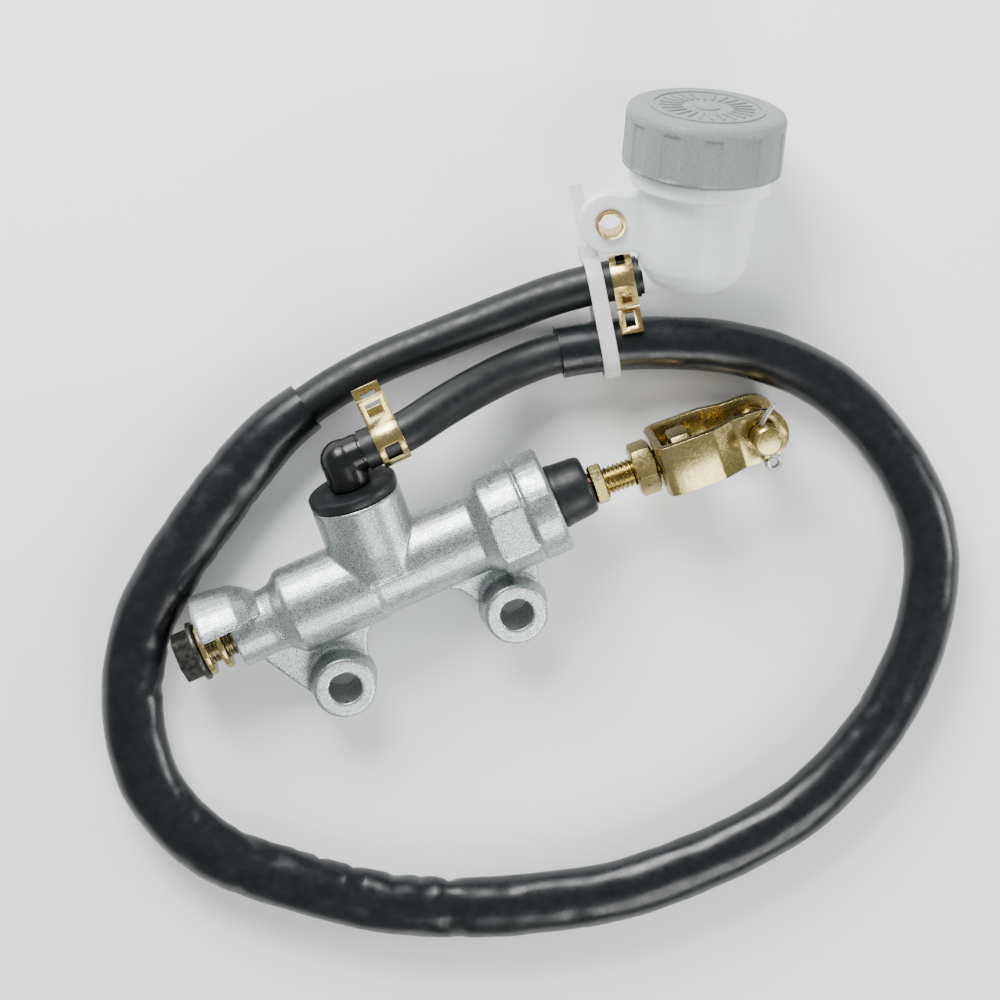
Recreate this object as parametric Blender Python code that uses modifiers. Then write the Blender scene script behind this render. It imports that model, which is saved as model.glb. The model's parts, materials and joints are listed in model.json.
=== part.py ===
"""Rear brake master cylinder for a motorcycle, with its remote reservoir, hose and clevis pushrod.

Every length below is in millimetres and is turned into metres where a mesh is made. X runs along the
bore towards the clevis, +Y is the side of the fluid inlet and +Z is up, with the part lying on a bench.
"""
import math

import bmesh
import bpy
from mathutils import Matrix, Vector

MM = 0.001
GAP = 0.3

# Driving dimensions of the cylinder casting. "s" is measured along the bore, from between the lug holes.
BIG_END_RADIUS = 14.6
BORE_RADIUS = 6.35
BORE_START, BORE_END = -28.0, 42.5
MOUTH_END, MOUTH_RADIUS = 46.5, 8.9
OUTLET_FACE, OUTLET_RADIUS = -46.2, 5.2
LUG_SPACING = 50.0
LUG_DROP = 24.0
LUG_RADIUS = 8.6
LUG_HOLE_RADIUS = 4.4
LUG_BACK, LUG_FRONT = -6.6, 7.0
WEB_FRONT = -0.5
INLET_RADIUS, INLET_LEAN = 12.1, 4.0
INLET_FOOT, INLET_TOP = 6.0, 22.9
INLET_S = -2.9

# The lying casting rests on its big end and on both lug rims, which sets its roll about the bore.
LUG_EDGE = LUG_DROP + LUG_RADIUS
ROLL = math.degrees(
    math.asin(BIG_END_RADIUS / math.hypot(LUG_EDGE, LUG_BACK)) - math.atan2(-LUG_BACK, LUG_EDGE)
)

# Driving dimensions of the pushrod. "x" is measured along the rod from the centre of its ball.
BALL_S, BALL_RADIUS = 36.0, 4.0
ROD_RADIUS, NECK_RADIUS = 3.9, 2.6
ROD_DROOP = -3.5
ROD_END = 53.0
PIN_X, PIN_RADIUS = 68.0, 4.0
SHEET = 2.2

# The cord: a rubber hose, with a loose protective sleeve over its long loop.
HOSE_RADIUS = 5.5
SLEEVE_OUTER, SLEEVE_INNER = 7.4, 6.2
CORD_STEP = 12.0
SLEEVE_FIRST, SLEEVE_LAST = 5, 8
TIE_FROM_START, TIE_FROM_END = 72.8, 11.8
CORD_ROUTE = [
    (5.2, 32.4, 22.8), (15.5, 32.5, 22.6), (25.5, 34.0, 20.2), (43.2, 35.6, 14.0), (54.9, 35.5, 10.0),
    (63.7, 34.6, 9.6), (80.0, 30.0, 9.4), (96.3, 23.0, 8.6), (113.1, 12.5, 7.7), (127.6, -4.0, 7.6),
    (136.0, -27.5, 7.6), (136.4, -50.8, 7.6), (126.4, -71.8, 7.6), (110.7, -88.3, 7.6),
    (92.4, -99.8, 7.6), (73.3, -106.7, 7.6), (54.4, -108.9, 7.6), (36.9, -108.9, 7.6),
    (20.3, -107.5, 7.6), (4.6, -103.4, 7.6), (-11.1, -98.4, 7.6), (-27.0, -91.5, 7.6),
    (-43.2, -82.1, 7.6), (-59.2, -69.2, 7.6), (-76.1, -52.4, 7.6), (-84.1, -30.2, 7.6),
    (-79.8, -6.8, 7.6), (-67.2, 12.8, 7.6), (-49.5, 26.4, 7.6), (-32.2, 36.8, 7.6),
    (-15.7, 45.0, 7.6), (1.5, 49.3, 7.0), (18.4, 50.9, 6.4), (35.0, 50.6, 6.4), (51.8, 50.2, 7.5),
    (67.0, 49.6, 10.0), (80.7, 47.6, 11.4), (90.4, 45.3, 12.1),
]

# The reservoir: its axis rises from the bench, and its hose leaves near the bottom.
RESERVOIR_AT = (101.8, 37.5, 11.5)
RESERVOIR_TURN = (-72.0, 0.0, -26.5)
CAP_RADIUS, CAP_TOP, CAP_SKIRT = 21.0, 49.0, 33.0
EAR_X, EAR_HEIGHT = -22.5, 16.5
SPIGOT_HEIGHT, SPIGOT_TURN, SPIGOT_END = 5.3, 76.2, -13.8

COLLECTION = "rear_brake_master_cylinder"
CUTTERS = "cutters"


# ---------------------------------------------------------------- scene and materials

def clear_scene():
    for obj in list(bpy.data.objects):
        bpy.data.objects.remove(obj, do_unlink=True)


def collection(name):
    made = bpy.data.collections.get(name)
    if made is None:
        made = bpy.data.collections.new(name)
        bpy.context.scene.collection.children.link(made)
    return made


def finish_material(name, colour, roughness, metallic):
    made = bpy.data.materials.new(name)
    made.use_nodes = True
    shader = made.node_tree.nodes["Principled BSDF"]
    shader.inputs["Base Color"].default_value = (*colour, 1.0)
    shader.inputs["Roughness"].default_value = roughness
    shader.inputs["Metallic"].default_value = metallic
    return made


def cast_aluminium(name):
    return finish_material(name, (0.62, 0.66, 0.65), 0.42, 0.9)


def machined_steel(name):
    return finish_material(name, (0.55, 0.56, 0.57), 0.3, 1.0)


def yellow_zinc(name):
    return finish_material(name, (0.62, 0.5, 0.22), 0.32, 1.0)


def dark_oxide(name):
    return finish_material(name, (0.07, 0.07, 0.07), 0.4, 0.9)


def black_rubber(name):
    return finish_material(name, (0.02, 0.022, 0.022), 0.55, 0.0)


def black_plastic(name):
    return finish_material(name, (0.02, 0.02, 0.02), 0.35, 0.0)


def milky_plastic(name):
    return finish_material(name, (0.78, 0.79, 0.76), 0.4, 0.0)


def grey_plastic(name):
    return finish_material(name, (0.33, 0.34, 0.35), 0.55, 0.0)


def brass(name):
    return finish_material(name, (0.7, 0.5, 0.2), 0.3, 1.0)


# ---------------------------------------------------------------- modelling helpers

def empty(name, parent, at=(0, 0, 0), turn=(0, 0, 0)):
    made = bpy.data.objects.new(name, None)
    collection(COLLECTION).objects.link(made)
    return put(made, parent, at, turn)


def put(obj, parent, at=(0, 0, 0), turn=(0, 0, 0)):
    obj.parent = parent
    obj.location = [MM * value for value in at]
    obj.rotation_euler = [math.radians(angle) for angle in turn]
    return obj


def add(name, mesh, finish):
    """A part when it has a finish, and otherwise a hidden shape that cuts or joins a part."""
    made = bpy.data.objects.new(name, mesh)
    collection(COLLECTION if finish else CUTTERS).objects.link(made)
    if finish:
        mesh.materials.append(finish(name))
    else:
        made.hide_render = True
        made.display_type = "WIRE"
    return made


def smooth(mesh):
    mesh.shade_smooth()
    mesh.set_sharp_from_angle(angle=math.radians(35))


def turned(name, profile, sides=32, finish=None, ring=False):
    """A profile of (radius, height), down its outer side, turned about local Z."""
    mesh = bpy.data.meshes.new(name)
    bm = bmesh.new()
    corners = [bm.verts.new((radius * MM, 0, height * MM)) for radius, height in profile]
    for first, second in zip(corners, corners[1:]):
        bm.edges.new((first, second))
    if ring:
        bm.edges.new((corners[-1], corners[0]))
    bm.to_mesh(mesh)
    bm.free()
    made = add(name, mesh, finish)
    screw = made.modifiers.new("turn", "SCREW")
    screw.axis = "Z"
    screw.steps = sides
    screw.render_steps = sides
    screw.use_merge_vertices = True
    screw.merge_threshold = 0.00001
    screw.use_smooth_shade = True
    return made


def tube_profile(outer, inner, low, high):
    return [(outer, high), (outer, low), (inner, low), (inner, high)]


def cylinder(name, radius, low, high, sides=32, finish=None):
    """A closed cylinder along local Z."""
    mesh = bpy.data.meshes.new(name)
    bm = bmesh.new()
    bmesh.ops.create_cone(
        bm, cap_ends=True, segments=sides, radius1=radius * MM, radius2=radius * MM,
        depth=(high - low) * MM, matrix=Matrix.Translation((0, 0, (low + high) / 2 * MM)))
    bm.to_mesh(mesh)
    bm.free()
    smooth(mesh)
    return add(name, mesh, finish)


def ball(name, radius, finish=None):
    mesh = bpy.data.meshes.new(name)
    bm = bmesh.new()
    bmesh.ops.create_uvsphere(bm, u_segments=20, v_segments=12, radius=radius * MM)
    bm.to_mesh(mesh)
    bm.free()
    smooth(mesh)
    return add(name, mesh, finish)


def box(name, size, centre=(0, 0, 0), finish=None):
    mesh = bpy.data.meshes.new(name)
    bm = bmesh.new()
    bmesh.ops.create_cube(bm, size=1.0)
    bmesh.ops.scale(bm, vec=[value * MM for value in size], verts=bm.verts)
    bmesh.ops.translate(bm, vec=[value * MM for value in centre], verts=bm.verts)
    bm.to_mesh(mesh)
    bm.free()
    return add(name, mesh, finish)


def from_curve(name, curve, finish):
    """The curve's evaluated mesh, welded, as an object of its own."""
    guide = bpy.data.objects.new(name + "_guide", curve)
    bpy.context.scene.collection.objects.link(guide)
    bpy.context.view_layer.update()
    evaluated = guide.evaluated_get(bpy.context.evaluated_depsgraph_get())
    mesh = bpy.data.meshes.new_from_object(evaluated)
    bm = bmesh.new()
    bm.from_mesh(mesh)
    bmesh.ops.remove_doubles(bm, verts=bm.verts, dist=0.000001)
    bm.to_mesh(mesh)
    bm.free()
    place = guide.matrix_world.copy()
    bpy.data.objects.remove(guide, do_unlink=True)
    mesh.materials.clear()
    made = add(name, mesh, finish)
    made.matrix_world = place
    return made


def plate(name, outlines, thickness, finish=None):
    """A flat piece in local XY, of one outline, or of one outline with holes."""
    curve = bpy.data.curves.new(name, "CURVE")
    curve.dimensions = "2D"
    curve.fill_mode = "BOTH"
    curve.extrude = thickness / 2 * MM
    for outline in outlines:
        spline = curve.splines.new("POLY")
        spline.points.add(len(outline) - 1)
        for point, (x, y) in zip(spline.points, outline):
            point.co = (x * MM, y * MM, 0, 1)
        spline.use_cyclic_u = True
    return from_curve(name, curve, finish)


def wire(name, points, radius, resolution=2, finish=None):
    curve = bpy.data.curves.new(name, "CURVE")
    curve.dimensions = "3D"
    curve.bevel_depth = radius * MM
    curve.bevel_resolution = resolution
    curve.use_fill_caps = True
    spline = curve.splines.new("POLY")
    spline.points.add(len(points) - 1)
    for point, place in zip(spline.points, points):
        point.co = (*[value * MM for value in place], 1)
    made = from_curve(name, curve, finish)
    smooth(made.data)
    return made


def combine(obj, tool, operation):
    modifier = obj.modifiers.new(tool.name, "BOOLEAN")
    modifier.operation = operation
    modifier.object = tool
    modifier.solver = "EXACT"
    return obj


def cut(obj, tool):
    return combine(obj, tool, "DIFFERENCE")


def join(obj, tool):
    return combine(obj, tool, "UNION")


def arc(centre, radius, start, end, steps):
    """Points of (x, y) round a centre, from one angle to another, in degrees."""
    found = []
    for step in range(steps + 1):
        angle = math.radians(start + (end - start) * step / steps)
        found.append((centre[0] + radius * math.cos(angle), centre[1] + radius * math.sin(angle)))
    return found


def rounded(corners, radii, steps=3):
    """A closed outline whose corners are replaced by arcs of the radii given."""
    found = []
    for index, corner in enumerate(corners):
        here = Vector(corner)
        before = (Vector(corners[index - 1]) - here)
        after = (Vector(corners[(index + 1) % len(corners)]) - here)
        radius = radii[index]
        if radius == 0:
            found.append(corner)
            continue
        half = before.angle(after) / 2
        reach = radius / math.tan(half)
        start = here + before.normalized() * reach
        end = here + after.normalized() * reach
        middle = here + (before.normalized() + after.normalized()).normalized() * (radius / math.sin(half))
        sweep = (start - middle).angle_signed(end - middle)
        for step in range(steps + 1):
            offset = (start - middle).copy()
            offset.rotate(Matrix.Rotation(-sweep * step / steps, 2))
            found.append(tuple(middle + offset))
    return found


def hexagon(across_flats):
    radius = across_flats / math.sqrt(3)
    return arc((0, 0), radius, 0, 300, 5)


def along(points, distance):
    """The place and direction at a distance along straight runs between points."""
    for first, second in zip(points, points[1:]):
        run = second - first
        if distance <= run.length:
            return first + run.normalized() * distance, run.normalized()
        distance -= run.length
    return points[-1], (points[-1] - points[-2]).normalized()


def smooth_route(route, spacing):
    """Evenly spaced points of a smooth curve through the route's own points."""
    knots = [Vector(point) for point in route]
    ends = [knots[0] * 2 - knots[1]] + knots + [knots[-1] * 2 - knots[-2]]
    fine = []
    for before, start, end, after in zip(ends, ends[1:], ends[2:], ends[3:]):
        for step in range(12):
            t = step / 12
            fine.append(0.5 * ((2 * start) + (end - before) * t
                               + (2 * before - 5 * start + 4 * end - after) * t ** 2
                               + (3 * start - before - 3 * end + after) * t ** 3))
    fine.append(knots[-1])
    total = sum((second - first).length for first, second in zip(fine, fine[1:]))
    count = round(total / spacing)
    return [along(fine, total * index / count)[0] for index in range(count)] + [knots[-1]]


# ---------------------------------------------------------------- cylinder casting

def barrel(frame):
    profile = [
        (0, 46.5), (13.8, 46.5), (14.6, 45.7), (14.6, 39), (14.1, 38.6), (14.1, 38), (14.6, 37.6),
        (14.6, 28.5), (14.2, 27.5), (11.1, 24), (11.2, -5), (12, -7), (12, -29.5), (11.5, -30.5),
        (9.2, -33), (8.8, -36), (9, OUTLET_FACE), (0, OUTLET_FACE),
    ]
    return put(turned("cylinder_body", profile, 40, cast_aluminium), frame, turn=(0, 90, 0))


def outlet_shroud(frame):
    """The roof over the outlet's washers, open on the lug side."""
    profile = [
        (14.3, -53.2), (13.9, -54), (10.4, -54), (10.4, -45.8), (7.5, -45.6), (7.5, -36.9), (8.5, -36.5),
        (11.2, -39.5), (13.2, -43), (14, -48),
    ]
    roof = put(turned("outlet_shroud", list(reversed(profile)), 40, ring=True), frame, turn=(0, 90, 0))
    side = put(box("shroud_opening", (24, 40, 40), (-46, -14.1, 0)), frame)
    return cut(roof, side)


def lug_web(frame, name, corners, radii):
    thickness = WEB_FRONT - LUG_BACK - 0.4
    web = plate(name, [rounded(corners, radii)], thickness)
    return put(web, frame, (0, 0, (WEB_FRONT + LUG_BACK + 0.4) / 2))


def lug_shapes(frame):
    side = LUG_SPACING / 2
    foot = -LUG_DROP
    outlet_web = [(-42, -4), (-42, -10.3), (-32.6, -28), (-25, -30), (-17, foot), (-13.5, -12.5), (-4, -11),
                  (-4, -4)]
    mouth_web = [(4, -4), (4, -11), (13.5, -12.5), (17.5, -22), (25, -30), (32.2, -27), (35.8, -14.5), (39, -13),
                 (39, -4)]
    shapes = [
        lug_web(frame, "outlet_side_web", outlet_web, [0, 3, 6, 5, 3, 8, 0, 0]),
        lug_web(frame, "mouth_side_web", mouth_web, [0, 0, 8, 4, 5, 4, 5, 0, 0]),
    ]
    for name, s in (("outlet_side_boss", -side), ("mouth_side_boss", side)):
        profile = [(0, LUG_FRONT), (LUG_RADIUS - 0.5, LUG_FRONT), (LUG_RADIUS, LUG_FRONT - 0.5),
                   (LUG_RADIUS, 0.6), (LUG_RADIUS + 1.0, WEB_FRONT - 0.6), (LUG_RADIUS, -2.6),
                   (LUG_RADIUS, LUG_BACK), (0, LUG_BACK)]
        shapes.append(put(turned(name, profile, 32), frame, (s, foot, 0)))
    return shapes


def cylinder_cutters(frame, inlet):
    fluid_way = [
        (0, 50), (MOUTH_RADIUS, 50), (MOUTH_RADIUS, BORE_END), (BORE_RADIUS, BORE_END), (BORE_RADIUS, 41.8),
        (7.4, 41.8), (7.4, 40.2), (BORE_RADIUS, 40.2), (BORE_RADIUS, BORE_START), (2, BORE_START), (2, -34),
        (OUTLET_RADIUS, -34), (OUTLET_RADIUS, -57), (0, -57),
    ]
    cutters = [put(turned("fluid_way", fluid_way, 32), frame, turn=(0, 90, 0))]
    socket = [(0, 20), (8.9, 20), (8.9, 8), (5, 8), (4.2, 3.2), (0, 3.2)]
    cutters.append(put(turned("inlet_socket", socket, 32), inlet))
    for name, s, radius in (("supply_port", 3.2, 1.5), ("compensating_port", -2.8, 0.8)):
        cutters.append(put(cylinder(name, radius, -3, 5, 10), inlet, (s - 1.0, 0, 0)))
    for name, s in (("outlet_side_hole", -LUG_SPACING / 2), ("mouth_side_hole", LUG_SPACING / 2)):
        hole = cylinder(name, LUG_HOLE_RADIUS, LUG_BACK - 3, LUG_FRONT + 3, 32)
        cutters.append(put(hole, frame, (s, -LUG_DROP, 0)))
    flat = box("big_end_flat", (10, 20, 10), (33.2, 0, 18))
    cutters.append(put(flat, frame))
    return cutters


def cylinder_body(frame, inlet):
    body = barrel(frame)
    join(body, outlet_shroud(frame))
    height = INLET_TOP - INLET_FOOT
    boss = [(0, height), (INLET_RADIUS - 0.4, height), (INLET_RADIUS, height - 0.4), (INLET_RADIUS, 3),
            (INLET_RADIUS + 0.6, -4), (0, -4)]
    join(body, put(turned("inlet_boss", boss, 40), inlet))
    for shape in lug_shapes(frame):
        join(body, shape)
    for cutter in cylinder_cutters(frame, inlet):
        cut(body, cutter)


# ---------------------------------------------------------------- fluid inlet

def inlet_fittings(frame, inlet):
    height = INLET_TOP - INLET_FOOT
    low = height + GAP
    grommet = [(12, low + 2.3), (12, low + 0.3), (11.7, low), (8.6, low), (8.6, low - 7.5), (4.5, low - 7.5),
               (4.5, low + 2.7), (11.6, low + 2.7)]
    put(turned("inlet_grommet", grommet, 32, black_rubber, ring=True), inlet)
    stem = [(0, 27.6), (5.6, 27.6), (5.6, low + 3.2), (5.2, low + 3.0), (4.2, low + 3.0), (4.2, low - 9.0),
            (0, low - 9.0)]
    elbow = put(turned("inlet_elbow", stem, 24, black_plastic), inlet)
    nipple_w, nipple_n = inlet_nipple_place()
    join(elbow, put(ball("elbow_dome", 5.65), frame, (-1.1, nipple_w, nipple_n)))
    nipple = cylinder("elbow_nipple", 5.2, -1.0, CORD_ROUTE[0][0] - 2 * GAP, 24)
    join(elbow, put(nipple, frame, (0, nipple_w, nipple_n), (0, 90, 0)))
    cut(elbow, put(cylinder("stem_passage", 2.2, low - 11, 27, 12), inlet))
    passage = cylinder("nipple_passage", 2.2, -1.1, 8, 12)
    cut(elbow, put(passage, frame, (0, nipple_w, nipple_n), (0, 90, 0)))


def inlet_nipple_place():
    """The nipple's height across the bore and its depth, where the hose begins."""
    angle = math.radians(ROLL)
    y = CORD_ROUTE[0][1]
    z = CORD_ROUTE[0][2] - BIG_END_RADIUS
    return y * math.cos(angle) + z * math.sin(angle), z * math.cos(angle) - y * math.sin(angle)


# ---------------------------------------------------------------- pieces in the bore

def bore_piece(name, profile, frame, finish, ring=False, sides=24):
    return put(turned(name, profile, sides, finish, ring), frame, turn=(0, 90, 0))


def pieces_in_the_bore(frame):
    piston = [(0, 35), (6.05, 35), (6.05, 30.3), (4.3, 30.3), (4.3, 26.7), (6.05, 26.7), (6.05, 24), (4, 23),
              (4, 8.5), (6.05, 7.5), (6.05, 6), (0, 6)]
    body = bore_piece("piston", piston, frame, cast_aluminium)
    cut(body, put(ball("ball_socket", BALL_RADIUS + GAP), frame, (BALL_S, 0, 0)))
    bore_piece("primary_cup", [(5.9, 5.7), (6.1, 3.2), (5.2, 3.2), (4.8, 4.6), (1.5, 4.6), (1.5, 5.7)], frame,
               black_rubber, ring=True)
    bore_piece("secondary_cup", [(6.0, 30), (6.1, 27), (4.6, 27), (4.6, 30)], frame, black_rubber, ring=True)
    bore_piece("spring_seat", [(5.4, 2.9), (5.4, 1.9), (1.5, 1.9), (1.5, 2.9)], frame, machined_steel, ring=True)
    bore_piece("stop_washer", tube_profile(6.0, 3.3, 38.6, 39.8), frame, machined_steel, ring=True)
    clip = bore_piece("circlip", tube_profile(7.1, 5.3, 40.5, 41.5), frame, machined_steel, ring=True)
    cut(clip, put(box("circlip_gap", (4, 5, 3.4), (41, 6.5, 0)), frame))
    return_spring(frame)


def return_spring(frame):
    turns, radius, steps = 9, 4.9, 8
    start, end = BORE_START + 1.0, 1.1
    points = []
    for step in range(turns * steps + 1):
        angle = 2 * math.pi * step / steps
        s = start + (end - start) * step / (turns * steps)
        points.append((s, radius * math.cos(angle), radius * math.sin(angle)))
    put(wire("return_spring", points, 0.5, 1, machined_steel), frame)


def dust_boot(frame):
    profile = [(7.4, 56.3), (8.0, 55.3), (8.4, 50.5), (8.7, 46.9), (8.6, 46.6), (8.6, 42.9), (6.5, 42.9),
               (6.5, 54.6), (5.5, 55.3), (5.5, 56.6), (6.6, 56.6)]
    bore_piece("dust_boot", profile, frame, black_rubber, ring=True, sides=32)


# ---------------------------------------------------------------- pushrod, nuts and clevis

def nut(name, rod, low, high, across):
    body = plate(name, [hexagon(across)], high - low, yellow_zinc)
    put(body, rod, ((low + high) / 2, 0, 0), (0, 90, 0))
    crown = [(0, high + 1), (across / 2 - 0.3, high + 1), (across / 2 - 0.3, high), (across / 2 + 1.4, high - 1),
             (across / 2 + 1.4, low + 1), (across / 2 - 0.3, low), (across / 2 - 0.3, low - 1), (0, low - 1)]
    combine(body, put(turned(name + "_crown", crown, 24), rod, turn=(0, 90, 0)), "INTERSECT")
    cut(body, put(cylinder(name + "_thread", ROD_RADIUS + GAP, low - 3, high + 3, 24), rod, turn=(0, 90, 0)))


def pushrod(rod):
    shank = [(0, ROD_END), (3.3, ROD_END), (ROD_RADIUS, ROD_END - 0.8), (ROD_RADIUS, 9.5), (NECK_RADIUS, 8.2),
             (NECK_RADIUS, 0), (0, 0)]
    body = put(turned("pushrod", shank, 24, yellow_zinc), rod, turn=(0, 90, 0))
    join(body, put(ball("pushrod_ball", BALL_RADIUS), rod))
    grip = plate("pushrod_hexagon", [hexagon(10)], 3.7)
    join(body, put(grip, rod, (22.85, 0, 0), (0, 90, 0)))
    nut("lock_nut", rod, 32.8, 38.8, 13)
    nut("clevis_nut", rod, 44.0, 50.0, 13)


def clevis(rod):
    """A U of bent sheet: its base is across the rod, and its arms jog inwards to the eyes."""
    base, tip = 41.5, PIN_X + 10
    wide, narrow = 10.5, 8.0
    outer = [(base - 2.2, -wide), (55, -wide), (61, -narrow), (tip, -narrow), (tip, -narrow + SHEET),
             (61.6, -narrow + SHEET), (55.6, -wide + SHEET), (base, -wide + SHEET), (base, wide - SHEET),
             (55.6, wide - SHEET), (61.6, narrow - SHEET), (tip, narrow - SHEET), (tip, narrow), (61, narrow),
             (55, wide), (base - 2.2, wide)]
    radii = [3, 3, 3, 0, 0, 3, 3, 1, 1, 3, 3, 0, 0, 3, 3, 3]
    body = plate("clevis", [rounded(outer, radii, 2)], 14.0, yellow_zinc)
    put(body, rod, turn=(90, 0, 0))
    eye = [(base - 5, -7), (PIN_X, -7)] + arc((PIN_X, 0), 7, -80, 80, 10) + [(PIN_X, 7), (base - 5, 7)]
    combine(body, put(plate("clevis_side_view", [eye], 40), rod), "INTERSECT")
    cut(body, put(cylinder("clevis_rod_hole", ROD_RADIUS + GAP + 0.1, 36, 44, 24), rod, turn=(0, 90, 0)))
    cut(body, put(cylinder("clevis_pin_hole", PIN_RADIUS + 0.2, -15, 15, 24), rod, (PIN_X, 0, 0)))


def clevis_pin(pin):
    shank = [(0, 14), (3.4, 14), (PIN_RADIUS, 13.4), (PIN_RADIUS, -8.3), (5.7, -8.3), (6, -8.6), (6, -10.5),
             (5.6, -10.8), (0, -10.8)]
    body = put(turned("clevis_pin", shank, 24, yellow_zinc), pin)
    cut(body, put(cylinder("cotter_hole", 1.1, -8, 8, 12), pin, (0, 0, 10.2), (90, 0, 0)))
    loop = [(x, y) for x, y in arc((0, -7.2), 1.8, 75, -255, 8)]
    points = [(4.6, 8.6, 11.2), (2.2, 6.4, 10.5), (0.35, 4.6, 10.2), (0.05, -4.8, 10.2)]
    points += [(x, y, 10.2) for x, y in loop[:-1]]
    put(wire("cotter_pin", points, 0.75, 2, machined_steel), pin)


# ---------------------------------------------------------------- banjo bolt

def outlet_bolt(frame):
    for name, low, high in (("seal_washer_outer", -55.6, -54.0), ("seal_washer_inner", -51.0, -49.4)):
        bore_piece(name, tube_profile(7.5, 5.1, low, high), frame, machined_steel, ring=True)
    shank = [(0, -38.2), (4.1, -38.2), (4.7, -39), (4.7, -55.9), (7.9, -55.9), (8.3, -56.3), (8.3, -57.4),
             (5.5, -57.6), (5.5, -58.5), (0, -58.5)]
    bolt = bore_piece("banjo_bolt", shank, frame, dark_oxide)
    head = put(plate("banjo_bolt_head", [hexagon(12)], 5.2), frame, (-59.8, 0, 0), (0, 90, 0))
    join(bolt, head)
    cut(bolt, put(cylinder("banjo_drilling", 1.7, -50, -36, 12), frame, turn=(0, 90, 0)))


# ---------------------------------------------------------------- reservoir

def reservoir_body(frame):
    curve = [(5.2 + x, 9.5 + y) for x, y in arc((0, 0), 9.5, 0, -90, 5)]
    inner_curve = [(5.2 + x, 9.5 + y) for x, y in arc((0, 0), 7.7, -90, 0, 5)]
    outside = [(17.6, 42), (17.6, 32.6), (18.7, 32.4), (18.7, 28.3), (15.7, 27.5)] + curve + [(0, 0)]
    inside = [(0, 1.8)] + inner_curve + [(13.9, 27.5), (15.8, 30), (15.8, 42)]
    shell = put(turned("reservoir_body", inside + outside, 36, milky_plastic), frame)
    wing = [(-13.6, 25.2), (-16, 25.2), *arc((EAR_X, EAR_HEIGHT), 8.3, 70, 290, 12), (-15.8, 9.2),
            (-13.6, 9.2)]
    ear = plate("reservoir_ear", [wing], 4.0)
    join(shell, put(ear, frame, turn=(90, 0, 0)))
    spigot = empty("spigot_axis", frame, (0, 0, SPIGOT_HEIGHT), (0, SPIGOT_TURN, 0))
    join(shell, put(cylinder("reservoir_spigot", 4.9, SPIGOT_END, -6.5, 20), spigot))
    cut(shell, put(cylinder("spigot_passage", 2.4, SPIGOT_END - 6, -2, 12), spigot))
    cut(shell, put(cylinder("ear_hole", 3.9, -6, 6, 24), frame, (EAR_X, 0, EAR_HEIGHT), (90, 0, 0)))
    bush = [(3.9, 3.2), (3.9, 2.4), (3.6, 2.4), (3.6, -2.4), (3.9, -2.4), (3.9, -3.2), (2.9, -3.2), (2.9, 3.2)]
    put(turned("reservoir_bush", bush, 24, brass, ring=True), frame, (EAR_X, 0, EAR_HEIGHT), (90, 0, 0))


def reservoir_closure(frame):
    cap = [(0, CAP_TOP), (CAP_RADIUS - 2, CAP_TOP), (CAP_RADIUS - 0.6, CAP_TOP - 0.6),
           (CAP_RADIUS, CAP_TOP - 2), (CAP_RADIUS, CAP_SKIRT + 0.4), (CAP_RADIUS - 0.4, CAP_SKIRT),
           (18.3, CAP_SKIRT), (18.3, 45.3), (0, 45.3)]
    cover = put(turned("reservoir_cap", cap, 48, grey_plastic), frame)
    for index in range(12):
        turn = 360 / 12 * index
        angle = math.radians(turn)
        panel = box(f"cap_grip_{index + 1}", (2, 5.2, 12))
        put(panel, frame, ((CAP_RADIUS + 0.4) * math.cos(angle), (CAP_RADIUS + 0.4) * math.sin(angle), 39.6),
            (0, 0, turn))
        cut(cover, panel)
    bellows = [(0, 37), (6.6, 37), (7, 40.5), (11.6, 40.5), (12, 37), (13.4, 37), (13.8, 43.5), (17.6, 43.5),
               (17.6, 42.3), (14.6, 42.3), (14.2, 36), (11.2, 36), (10.8, 39.5), (7.8, 39.5), (7.4, 36), (0, 36)]
    put(turned("diaphragm", bellows, 28, black_rubber), frame)
    put(cylinder("slip_plate", 17.5, 43.8, 44.9, 32, milky_plastic), frame)


# ---------------------------------------------------------------- hose, sleeve, clamps and tie

def cord(origin):
    points = smooth_route(CORD_ROUTE, CORD_STEP)
    put(wire("fluid_hose", points, HOSE_RADIUS, 2, black_rubber), origin)
    covered = points[SLEEVE_FIRST:-SLEEVE_LAST]
    sleeve = put(wire("protective_sleeve", covered, SLEEVE_OUTER, 3, black_rubber), origin)
    longer = [covered[0] * 2 - covered[1]] + covered + [covered[-1] * 2 - covered[-2]]
    cut(sleeve, put(wire("sleeve_bore", longer, SLEEVE_INNER, 3), origin))
    return points


def frame_on(name, parent, place, z_axis, towards):
    """An empty at a place whose Z is one direction and whose Y leans towards another."""
    z_axis = z_axis.normalized()
    y_axis = (towards - z_axis * towards.dot(z_axis)).normalized()
    x_axis = y_axis.cross(z_axis)
    made = empty(name, parent, place)
    made.rotation_euler = Matrix((x_axis, y_axis, z_axis)).transposed().to_euler()
    return made


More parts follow.
